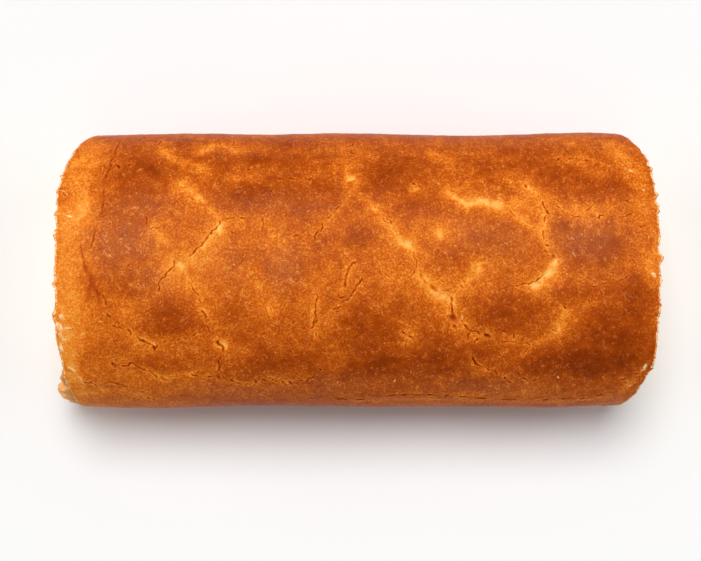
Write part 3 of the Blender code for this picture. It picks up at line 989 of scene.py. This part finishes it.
def spread(low, high, step, random):
    """A jittered staggered grid of places over a rectangle, clear of its sides."""
    rows = max(2, round((high[1] - low[1]) / (0.87 * step)))
    columns = max(2, round((high[0] - low[0]) / step))
    i, j = np.meshgrid(np.arange(columns), np.arange(rows))
    x = low[0] + (i + 0.3 + 0.4 * (j % 2)) * (high[0] - low[0]) / columns
    y = low[1] + (j + 0.5) * (high[1] - low[1]) / rows
    places = np.column_stack((x.ravel(), y.ravel()))
    return places + random.uniform(-0.18, 0.18, places.shape) * step


def thinned(places, taken, gap):
    """The places that lie at least this far from those already taken."""
    return places[nearest(places, taken)[1] >= gap]


def unique_cells(places, cell):
    """At most one place in each square cell."""
    keys = np.round(places / cell).astype(int)
    kept = np.unique(keys, axis=0, return_index=True)[1]
    return places[np.sort(kept)]


def inside_ring(places, ring):
    """The places inside the ring, found by counting the edges to the right of each."""
    inside = np.zeros(len(places), bool)
    for (x0, y0), (x1, y1) in zip(ring, np.roll(ring, -1, axis=0)):
        if y0 == y1:
            continue
        spans = (places[:, 1] > min(y0, y1)) & (places[:, 1] <= max(y0, y1))
        crossing = x0 + (places[:, 1] - y0) * (x1 - x0) / (y1 - y0)
        inside ^= spans & (places[:, 0] < crossing)
    return places[inside]


def filled(ring, step, seed):
    """Flat triangles over the inside of a ring, with the ring's own points as their rim."""
    random = np.random.default_rng(seed)
    aside = 0.55 * step * left_of(np.roll(ring, -1, axis=0) - np.roll(ring, 1, axis=0))
    beside = inside_ring(np.vstack((ring + aside, ring - aside)), ring)
    kept = np.vstack((ring, unique_cells(thinned(beside, ring, 0.5 * step), 0.4 * step)))
    places = inside_ring(spread(ring.min(axis=0), ring.max(axis=0), step, random), ring)
    places = np.vstack((kept, thinned(places, kept, 0.6 * step)))
    return triangles(places, ring_edges(len(ring)), inside=True)


# Triangles with a position and named values at each corner, and a material's slot
Patch = namedtuple("Patch", "points faces slot values")


def joined(name, patches, materials):
    """One closed mesh object from patches whose edges meet."""
    start, faces, slots = 0, [], []
    for patch in patches:
        faces += [tuple(corner + start for corner in face) for face in patch.faces]
        slots += [patch.slot] * len(patch.faces)
        start += len(patch.points)
    points = np.vstack([patch.points for patch in patches]) + ROLL_MIDDLE
    data = bpy.data.meshes.new(name)
    data.from_pydata(points.tolist(), [], faces)
    data.polygons.foreach_set("material_index", slots)
    for key in sorted({key for patch in patches for key in patch.values}):
        column = [np.broadcast_to(patch.values.get(key, 0.0), len(patch.points)) for patch in patches]
        layer = data.attributes.new(key, "FLOAT", "POINT")
        layer.data.foreach_set("value", np.concatenate(column).astype(np.float32))
    mesh = bmesh.new()
    mesh.from_mesh(data)
    bmesh.ops.remove_doubles(mesh, verts=mesh.verts, dist=2e-6)
    bmesh.ops.recalc_face_normals(mesh, faces=mesh.faces)
    mesh.to_mesh(data)
    mesh.free()
    data.shade_smooth()
    for material in materials:
        data.materials.append(material)
    piece = bpy.data.objects.new(name, data)
    bpy.context.scene.collection.objects.link(piece)
    return piece


RIM_ARC = np.linspace(TABLE_ARC[0], TABLE_ARC[-1], round((TABLE_ARC[-1] - TABLE_ARC[0]) / RIM_STEP) + 1)
RIM_TURNS = turn_at(RIM_ARC)
INNER_TURNS = np.linspace(1.0, TURNS, 330)
SIDE_ALONG = np.linspace(-HALF_LENGTH, HALF_LENGTH, 136)


def sponge_ring():
    """The sheet's section, (y, z) rows: its browned face from the outer edge to the inner one, and back."""
    back = np.concatenate((INNER_TURNS[::-1], RIM_TURNS[-2::-1]))
    return np.vstack((skin_section(RIM_ARC), outer_face(INNER_TURNS)[1:], inner_face(back)))


def torn_skin(section, end):
    """Share, 0 to 1, of the skin that has torn back from the crumb: low on the front at -X."""
    if end > 0:
        return np.zeros(len(section))
    return smooth(-0.044, -0.056, section[:, 0]) * smooth(0.0, 0.02, section[:, 1])


def end_bumps(section, end):
    """How far, in millimetres, the upper half of an end bulges out along the roll."""
    on_top = smooth(WIDEST_AT - 0.004, WIDEST_AT + 0.006, section[:, 1])
    total = np.zeros(len(section))
    for y, half_width, height in RIM_BUMPS[end]:
        total += height * on_top * bell(section[:, 0] - y * MM, half_width * MM)
    return total


def rim_out(section, end, inward):
    """How far the rim of an end stands out along the roll: ragged, with teeth of crumb on its edge."""
    points = with_x(0.05 * end, section)
    teeth = TEETH * np.maximum(0.0, ripple(points, 1.7 * MM, 11)) ** TEETH_POWER
    ragged = ripples(points, RIM_LUMPS) + (end_bumps(section, end) - TORN_BACK * torn_skin(section, end))
    return MM * (ragged * fading(inward, 4.0 * MM) + teeth * fading(inward, 1.5 * MM))


def rim_in(turn):
    """How far the skin's rim curls in at an end."""
    return 0.5 * MM * clear_of_base(turn)


def crumb_out(section, end, from_edge):
    """How far the crumb of an end stands out along the roll."""
    grain = with_x(0.09 * end, section)
    holes = -0.9 * np.maximum(0.0, ripple(grain, 1.9 * MM, 16) - 0.35)
    torn = torn_skin(section, end) * (1.2 + 1.6 * np.abs(ripple(grain, 4 * MM, 17)))
    broken = 1.0 + 2.4 * torn_skin(section, end)
    base = 0.35 * ripple(grain, 13 * MM, 18) + end_bumps(section, end)
    clear = smooth(0.0, 1.3 * MM, from_edge)
    return MM * (base + clear * (broken * (ripples(grain, CRUMB_LUMPS) + holes) + torn))


def end_patch(end, cracks):
    """The crumb at one end of the sponge. Its first points are those of the section's ring."""
    ring = sponge_ring()
    rim, browned = ring[: len(RIM_ARC)], ring[: len(RIM_ARC) + len(INNER_TURNS) - 1]
    places, faces = filled(ring, CRUMB_STEP, CRUMB_SEED + end)
    beside, from_rim = nearest(places, rim)
    from_edge, from_crust = nearest(places, ring)[1], nearest(places, browned)[1]
    half = end * HALF_LENGTH
    points = placed(half, places, lip=smooth(0.4 * MM, 2.0 * MM, from_rim))
    raised = skin_state(with_x(half, RIM_ARC), cracks)[0] - rim_in(RIM_TURNS)
    follow = raised[beside] * bell(from_rim, 1.2 * MM)
    points = points + follow[:, None] * skin_outward(RIM_ARC)[beside]
    near = fading(from_rim, 2.0 * MM)
    at_rim = rim_out(places, end, np.zeros(len(places)))
    points[:, 0] += end * (near * at_rim + (1.0 - near) * crumb_out(places, end, from_edge))
    # Painted warm reflected light on the crumb low on the front at -X, in the toasted colour; near the crust
    # the crumb is toasted
    painted_reflection = smooth(-0.030, -0.042, places[:, 0]) if end < 0 else 0.0
    toasted = np.maximum(np.exp(-from_crust / (2.5 * MM)), painted_reflection)
    return Patch(points, faces, 1, {"crust": bell(from_crust, 0.7 * MM), "toasted": toasted})


def strip(run, inside, ends):
    """Triangles over a strip as long as the roll, and what fastens its ends to the end rings."""
    near, far = (with_x(x, run) for x in (-HALF_LENGTH, HALF_LENGTH))
    low, high = (with_x(place, SIDE_ALONG)[:, ::-1] for place in (run[0], run[-1]))
    border = np.vstack((near, high[1:-1], far[::-1], low[1:-1][::-1]))
    places = np.vstack((border, thinned(inside, border, 0.3 * MM)))
    places, faces = triangles(places, ring_edges(len(border)))
    first_far = len(near) + len(high) - 2

    def fasten(points):
        points[: len(run)] = ends[0]
        points[first_far : first_far + len(run)] = ends[1][::-1]

    return places, faces, fasten


def skin_places(cracks):
    """Where the skin's mesh has points: fine along cracks and rims, coarse underneath."""
    random = np.random.default_rng(SKIN_SEED)
    low, high = TABLE_ARC[0], TABLE_ARC[-1]
    front, back = FRONT_ARC - 0.038, BACK_ARC + 0.034
    left, right = RIM_BAND - HALF_LENGTH, HALF_LENGTH - RIM_BAND
    bands = (
        ((left, front), (right, back), SKIN_STEP),
        ((-HALF_LENGTH, front), (left, back), RIM_STEP),
        ((right, front), (HALF_LENGTH, back), RIM_STEP),
        ((-HALF_LENGTH, low), (HALF_LENGTH, front), UNDER_STEP),
        ((-HALF_LENGTH, back), (HALF_LENGTH, high), UNDER_STEP),
    )
    coarse = np.vstack([spread(*band, random) for band in bands])
    on_roll = np.abs(cracks.mesh_points[:, 0]) < HALF_LENGTH - 0.4 * MM
    fine = unique_cells(cracks.mesh_points[on_roll], FINE_CELL)
    return np.vstack((fine, thinned(coarse, fine, 0.75 * MM)))


def skin_patch(cracks, ends):
    """The browned face of the outermost turn."""
    places, faces, fasten = strip(RIM_ARC, skin_places(cracks), [end[: len(RIM_ARC)] for end in ends])
    section = skin_section(places[:, 1])
    raised, browning, crack_shade, lips, in_groove = skin_state(places, cracks)
    inward = HALF_LENGTH - np.abs(places[:, 0])
    end = np.sign(places[:, 0])
    curl = rim_in(turn_at(places[:, 1])) * fading(inward, 1.6 * MM)
    points = placed(places[:, 0], section, lip=0.0) + (raised - curl)[:, None] * skin_outward(places[:, 1])
    points[:, 0] += end * np.where(end < 0, rim_out(section, -1, inward), rim_out(section, 1, inward))
    fasten(points)
    crumb = 0.85 * (1.0 - smooth(0.2 * MM, 1.3 * MM, inward))
    crumb = np.maximum(crumb, np.minimum(1.0, lips / (0.40 * MM)))
    dull = 1.0 - np.clip(in_groove, 0.0, 1.0)
    # Painted sheen: a whitish haze on the crowns of domes, kept out of creases and cracks
    bloom = spots_at(PAINTED_SHEEN_SPOTS, places, SHEEN_POWER) * dull
    values = {"browning": browning, "crack": crack_shade, "crumb": crumb, "bloom": bloom, "dull": dull}
    return Patch(points, faces, 0, values)


def hidden_patch(ends):
    """The sheet's faces inside the roll, which close the solid."""
    ring = sponge_ring()
    path = np.vstack((ring[len(RIM_ARC) - 1 :], ring[:1]))
    run = run_along(path)
    low, high = (6 * MM - HALF_LENGTH, 2 * MM), (HALF_LENGTH - 6 * MM, run[-1] - 2 * MM)
    inside = spread(low, high, HIDDEN_STEP, np.random.default_rng(HIDDEN_SEED))
    ends = [np.vstack((end[len(RIM_ARC) - 1 :], end[:1])) for end in ends]
    places, faces, fasten = strip(run, inside, ends)
    points = placed(places[:, 0], read_rows(places[:, 1], run, path), lip=0.0)
    fasten(points)
    return Patch(points, faces, 1, {})


def make_sponge(cracks, materials):
    caps = [end_patch(end, cracks) for end in (-1, 1)]
    ends = [cap.points[: len(sponge_ring())] for cap in caps]
    return joined("sponge", [skin_patch(cracks, ends), hidden_patch(ends), *caps], materials)


def cream_ring():
    """The cream's section: along the sheet's inner face, and back along the next turn's browned face."""
    past = TURNS + 0.004
    into = 0.05 * MM
    inner_side = inner_face(np.linspace(CREAM_START, past, 420), -into)
    outer_side = outer_face(np.linspace(past, CREAM_START + 1.0, 260), -into)
    return np.vstack((inner_side, outer_side))


def make_cream(material):
    """The cream: a spiral band through the roll that swells a little at its ends."""
    ring = cream_ring()
    stations = np.linspace(-HALF_LENGTH, HALF_LENGTH, 9)
    rows = [placed(x, ring, lip=0.3) for x in stations]
    quads = []
    for first in range(0, (len(stations) - 1) * len(ring), len(ring)):
        for i, j in ring_edges(len(ring)):
            quads.append((first + i, first + j, first + len(ring) + j, first + len(ring) + i))
    patches = [Patch(np.vstack(rows), quads, 0, {})]
    for end in (-1, 1):
        places, faces = filled(ring, CREAM_STEP, CREAM_SEED + end)
        points = placed(end * HALF_LENGTH, places, lip=0.3)
        smear = ripples(with_x(0.2 * end, places), CREAM_LUMPS, 0.9)
        points[:, 0] += end * MM * smooth(0.0, 2.2 * MM, nearest(places, ring)[1]) * smear
        patches.append(Patch(points, faces, 0, {}))
    return joined("cream", patches, [material])


# --- Materials -------------------------------------------------------------------------------------
CRUMB_COLOUR = (0.97, 0.66, 0.27)
CRUMB_SHADE = (0.90, 0.48, 0.13)
PORE_SHADE_COLOUR = (0.72, 0.36, 0.10)
TOAST_AND_REFLECTION_COLOUR = (0.94, 0.41, 0.13)
CRUST_COLOUR = (0.38, 0.10, 0.012)
TORN_COLOUR = (0.98, 0.70, 0.38)
TORN_SHADE = (0.90, 0.42, 0.12)
CURL_HIGHLIGHT_COLOUR = (0.94, 0.52, 0.23)
SPECKLE_SHEEN_COLOUR = (0.90, 0.45, 0.055)
PAINTED_SHEEN_COLOUR = (0.66, 0.29, 0.12)
CREAM_COLOUR = (1.0, 0.88, 0.66)
CREAM_SHADE = (0.98, 0.81, 0.54)
BUBBLE_SHADE_COLOUR = (0.92, 0.68, 0.38)
# The skin's colour from the palest browning to the darkest
SKIN_COLOURS = [
    (-0.4, (0.96, 0.57, 0.18)),
    (0.0, (0.94, 0.38, 0.070)),
    (0.2, (0.86, 0.235, 0.020)),
    (0.5, (0.65, 0.120, 0.005)),
    (0.75, (0.46, 0.071, 0.003)),
    (1.1, (0.26, 0.036, 0.002)),
    (1.6, (0.12, 0.013, 0.001)),
]
# Lumps of each noise to a metre
MOTTLE, WEAVE, CURLS, CURL_PARTS, TORN = 260.0, 1200.0, 480.0, 400.0, 1000.0
GRAIN, PATCHES, LARGE_PORES, SMALL_PORES = 1300.0, 110.0, 330.0, 800.0
SWIRL, FROTH, BUBBLES = 180.0, 1500.0, 800.0
BROWNING_SHARES = (0.34, 0.36, -0.26, 0.88)     # of the mottle, the weave, the curls' painted highlight and the cracks' painted shade
LIGHTENING = 0.21           # taken from the browning everywhere
CRACK_POWER = 1.3
CURL_HIGHLIGHT_SHARES = (0.30, 0.08)  # of the curls' painted highlight on a painted sheen spot and beside it
# Shares of the painted sheen speckle on pale skin and of the painted sheen on domes
SPECKLE_SHEEN_SHARE, PAINTED_SHEEN_SHARE = 0.38, 0.11
MIX_INPUTS, MIX_OUTPUT = (0, 6, 7), 2   # a Mix node's share and its two colours, and its colour


class Shading:
    """A node tree, with short ways to add to it. A value is a number, a colour or a node's output."""

    def __init__(self, tree):
        self.tree = tree

    def give(self, socket, value):
        if isinstance(value, bpy.types.NodeSocket):
            self.tree.links.new(value, socket)
        elif socket.type == "RGBA":
            socket.default_value = (*value, 1.0)
        else:
            socket.default_value = value

    def fill(self, node, **inputs):
        """Gives a node its inputs, in whose names _ stands for a space."""
        for name, value in inputs.items():
            self.give(node.inputs[name.replace("_", " ")], value)
        return node

    def add(self, kind, settings=None, **inputs):
        made = self.tree.nodes.new("ShaderNode" + kind)
        for name, value in (settings or {}).items():
            setattr(made, name, value)
        return self.fill(made, **inputs)

    def maths(self, operation, *values, kind="Math"):
        made = self.add(kind, {"operation": operation})
        for socket, value in zip(made.inputs, values):
            self.give(socket, value)
        return made.outputs[0]

    def times(self, first, second):
        return self.maths("MULTIPLY", first, second)

    def scaled(self, value, factor, extra):
        """The value times the factor, plus the extra."""
        return self.maths("MULTIPLY_ADD", value, factor, extra)

    def attribute(self, name):
        return self.add("Attribute", {"attribute_name": name}).outputs["Fac"]

    def object_place(self):
        return self.add("TexCoord").outputs["Object"]

    def noise(self, place, scale, detail=2.0, distortion=0.0):
        """Noise about 0.5, with this many lumps to a metre."""
        made = self.add("TexNoise", Vector=place, Scale=scale, Detail=detail, Distortion=distortion)
        return made.outputs["Fac"]

    def ramp_up(self, value, low, high):
        """A smooth rise from 0 to 1 as the value goes from low to high."""
        settings = {"interpolation_type": "SMOOTHSTEP"}
        return self.add("MapRange", settings, Value=value, From_Min=low, From_Max=high).outputs["Result"]

    def thin_lines(self, value, half_width):
        """1 along the lines where a noise passes its middle, falling to 0 this far to either side."""
        off = self.maths("ABSOLUTE", self.maths("SUBTRACT", value, 0.5))
        return self.ramp_up(off, half_width, 0.0)

    def colour_ramp(self, value, stops):
        """The colour at a value, from (value, colour) stops in order."""
        low, high = stops[0][0], stops[-1][0]
        made = self.add("ValToRGB", Fac=self.scaled(value, 1.0 / (high - low), -low / (high - low)))
        for place, _ in stops[1:-1]:
            made.color_ramp.elements.new((place - low) / (high - low))
        for element, (_, colour) in zip(made.color_ramp.elements, stops):
            element.color = (*colour, 1.0)
        return made.outputs["Color"]

    def mixed(self, share, first, second):
        made = self.add("Mix", {"data_type": "RGBA"})
        for index, value in zip(MIX_INPUTS, (share, first, second)):
            self.give(made.inputs[index], value)
        return made.outputs[MIX_OUTPUT]

    def bumped(self, height, distance, strength, **before):
        """A normal bent by a height, on top of an earlier bent Normal where one is given."""
        made = self.add("Bump", Height=height, Distance=distance, Strength=strength, **before)
        return made.outputs["Normal"]

    def pores(self, place, scale, size):
        """1 inside round holes of many sizes, this many to a metre: a larger size shows more of them."""
        bent = self.add("TexNoise", Vector=place, Scale=1.3 * scale, Detail=1.0).outputs["Color"]
        shifted = self.maths("MULTIPLY_ADD", bent, (0.5 / scale,) * 3, place, kind="VectorMath")
        distance = self.add("TexVoronoi", Vector=shifted, Scale=scale).outputs["Distance"]
        radius = self.maths("ADD", self.noise(place, 0.5 * scale, 1.0), size - 0.68)
        return self.ramp_up(self.maths("SUBTRACT", distance, radius), 0.14, -0.12)


def new_material(name):
    made = bpy.data.materials.new(name)
    made.use_nodes = True
    tree = made.node_tree
    return made, Shading(tree), tree.nodes["Principled BSDF"]


def skin_material():
    made, nodes, shader = new_material("browned_skin")
    place = nodes.object_place()
    mottle = nodes.noise(place, MOTTLE, 3.0, 0.6)
    weave = nodes.noise(place, WEAVE, 0.5, 0.6)
    dull, bloom = nodes.attribute("dull"), nodes.attribute("bloom")
    parts = nodes.ramp_up(nodes.noise(place, CURL_PARTS, 1.0), 0.42, 0.60)
    # Fine curls: raised a little, and paler as a painted highlight
    curls = nodes.thin_lines(nodes.noise(place, CURLS, 0.0, 1.3), 0.075)
    curls = nodes.times(curls, nodes.times(parts, dull))
    # Painted shade in the cracks, darker the deeper and narrower they are
    crack = nodes.maths("POWER", nodes.attribute("crack"), CRACK_POWER)
    browning = nodes.attribute("browning")
    for value, share in zip((mottle, weave, curls, crack), BROWNING_SHARES):
        browning = nodes.scaled(value, share, browning)
    browning = nodes.maths("SUBTRACT", browning, LIGHTENING)
    colour = nodes.colour_ramp(browning, SKIN_COLOURS)
    # Painted highlight along the curls, stronger on a painted sheen spot
    colour = nodes.mixed(nodes.times(curls, nodes.scaled(bloom, *CURL_HIGHLIGHT_SHARES)), colour, CURL_HIGHLIGHT_COLOUR)
    # Painted sheen: a fine whitish speckle on the pale skin, away from creases and cracks
    sheen_speckle = nodes.times(nodes.ramp_up(weave, 0.60, 0.30), nodes.ramp_up(browning, 1.0, 0.2))
    colour = nodes.mixed(nodes.times(sheen_speckle, nodes.times(dull, SPECKLE_SHEEN_SHARE)), colour, SPECKLE_SHEEN_COLOUR)
    # Painted sheen on the crowns of domes
    colour = nodes.mixed(nodes.times(bloom, PAINTED_SHEEN_SHARE), colour, PAINTED_SHEEN_COLOUR)
    torn = nodes.scaled(nodes.noise(place, TORN), 0.8, nodes.attribute("crumb"))
    torn_colour = nodes.mixed(nodes.ramp_up(mottle, 0.42, 0.60), TORN_COLOUR, TORN_SHADE)
    colour = nodes.mixed(nodes.ramp_up(torn, 0.70, 1.05), colour, torn_colour)
    normal = nodes.bumped(curls, 0.05 * MM, 1.0)
    normal = nodes.bumped(weave, 0.02 * MM, 1.0, Normal=normal)
    nodes.fill(shader, Base_Color=colour, Normal=normal, Roughness=nodes.scaled(browning, -0.25, 0.58))
    nodes.fill(shader, Specular_IOR_Level=0.03)
    return made


def crumb_material():
    made, nodes, shader = new_material("sponge_crumb")
    place = nodes.object_place()
    grain = nodes.noise(place, GRAIN, 4.0, 0.8)
    patches = nodes.noise(place, PATCHES)
    small = nodes.times(nodes.pores(place, SMALL_PORES, 0.42), 0.7)
    holes = nodes.maths("MAXIMUM", nodes.pores(place, LARGE_PORES, 0.31), small)
    tone = nodes.scaled(grain, 0.9, nodes.scaled(patches, 0.6, -0.55))
    tone = nodes.maths("MAXIMUM", nodes.maths("MINIMUM", tone, 1.0), 0.0)
    colour = nodes.mixed(tone, CRUMB_COLOUR, CRUMB_SHADE)
    # Painted shade inside the pores
    colour = nodes.mixed(nodes.times(holes, 0.75), colour, PORE_SHADE_COLOUR)
    # Toasted crumb near the crust, and painted warm reflected light low on the front at -X
    colour = nodes.mixed(nodes.times(nodes.attribute("toasted"), 0.85), colour, TOAST_AND_REFLECTION_COLOUR)
    colour = nodes.mixed(nodes.attribute("crust"), colour, CRUST_COLOUR)
    normal = nodes.bumped(grain, 0.7 * MM, 0.8)
    normal = nodes.bumped(holes, -0.35 * MM, 0.8, Normal=normal)
    nodes.fill(shader, Base_Color=colour, Normal=normal, Roughness=0.85, Specular_IOR_Level=0.1)
    nodes.fill(shader, Subsurface_Radius=(0.0012, 0.0008, 0.0004), Subsurface_Weight=0.10)
    nodes.fill(shader, Subsurface_Scale=1.0)
    return made


def cream_material():
    made, nodes, shader = new_material("cream")
    place = nodes.object_place()
    swirl = nodes.noise(place, SWIRL, 3.0, 1.0)
    froth = nodes.noise(place, FROTH)
    bubbles = nodes.pores(place, BUBBLES, 0.24)
    colour = nodes.mixed(swirl, CREAM_COLOUR, CREAM_SHADE)
    # Painted shade inside the bubbles
    colour = nodes.mixed(nodes.times(bubbles, 0.3), colour, BUBBLE_SHADE_COLOUR)
    normal = nodes.bumped(swirl, 0.6 * MM, 0.5)
    normal = nodes.bumped(froth, 0.15 * MM, 0.6, Normal=normal)
    normal = nodes.bumped(bubbles, -0.12 * MM, 0.8, Normal=normal)
    nodes.fill(shader, Base_Color=colour, Normal=normal, Roughness=0.45)
    nodes.fill(shader, Subsurface_Radius=(0.0015, 0.0010, 0.0007), Subsurface_Weight=0.15)
    nodes.fill(shader, Subsurface_Scale=1.0)
    return made


def floor_material():
    made, nodes, shader = new_material("pale_floor")
    nodes.fill(shader, Base_Color=(0.88, 0.88, 0.88), Roughness=0.9, Specular_IOR_Level=0.1)
    return made


# --- Stage -----------------------------------------------------------------------------------------
FLOOR_SIZE = 60.0
CAMERA_ELEVATION = math.radians(85.8)
CAMERA_PLACE = Vector((-0.003, -0.0573, 0.7476)) + Vector(ROLL_MIDDLE)
CAMERA_LENS = 77.1          # on a sensor this wide, in millimetres
CAMERA_SENSOR = 36.0
BACKDROP_BRIGHTNESS = 0.95  # behind the floor's horizon
FILL_LIGHT = 0.12           # from all round
# Name, strength, width in degrees, azimuth from +X, elevation
SUNS = [("key", 2.45, 34.0, 97.0, 69.0), ("left", 1.30, 60.0, 175.0, 18.0), ("right", 1.20, 60.0, 5.0, 18.0)]


def linked(name, data, rotation):
    made = bpy.data.objects.new(name, data)
    made.rotation_euler = Euler(rotation)
    bpy.context.scene.collection.objects.link(made)
    return made


def make_stage():
    bpy.ops.mesh.primitive_plane_add(size=FLOOR_SIZE)
    floor = bpy.context.object
    floor.name = "floor"
    floor.data.materials.append(floor_material())


def studio_world():
    """A white backdrop that adds only a little light of its own."""
    world = bpy.data.worlds.new("studio")
    world.use_nodes = True
    nodes = Shading(world.node_tree)
    seen = nodes.add("LightPath").outputs["Is Camera Ray"]
    strength = nodes.scaled(seen, BACKDROP_BRIGHTNESS - FILL_LIGHT, FILL_LIGHT)
    nodes.fill(world.node_tree.nodes["Background"], Color=(1.0, 1.0, 1.0), Strength=strength)
    return world


def make_lights():
    for name, strength, width, azimuth, elevation in SUNS:
        data = bpy.data.lights.new(name, "SUN")
        data.energy = strength
        data.angle = math.radians(width)
        linked(name, data, (0.0, math.radians(90.0 - elevation), math.radians(azimuth)))
    bpy.context.scene.world = studio_world()


def make_camera():
    data = bpy.data.cameras.new("camera")
    data.lens = CAMERA_LENS
    data.sensor_width = CAMERA_SENSOR
    data.clip_start = 0.05
    data.clip_end = 20.0
    camera = linked("camera", data, (0.5 * math.pi - CAMERA_ELEVATION, 0.0, 0.0))
    camera.location = CAMERA_PLACE
    bpy.context.scene.camera = camera


def main():
    cracks = Cracks()
    sponge = make_sponge(cracks, [skin_material(), crumb_material()])
    cream = make_cream(cream_material())
    for piece, node, slot in ((sponge, "sponge_sheet", "sponge"), (cream, "cream_filling", "cream")):
        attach(piece, "root")
        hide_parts(node)
    make_stage()
    make_lights()
    make_camera()
    bpy.context.scene.view_settings.view_transform = "Standard"


main()
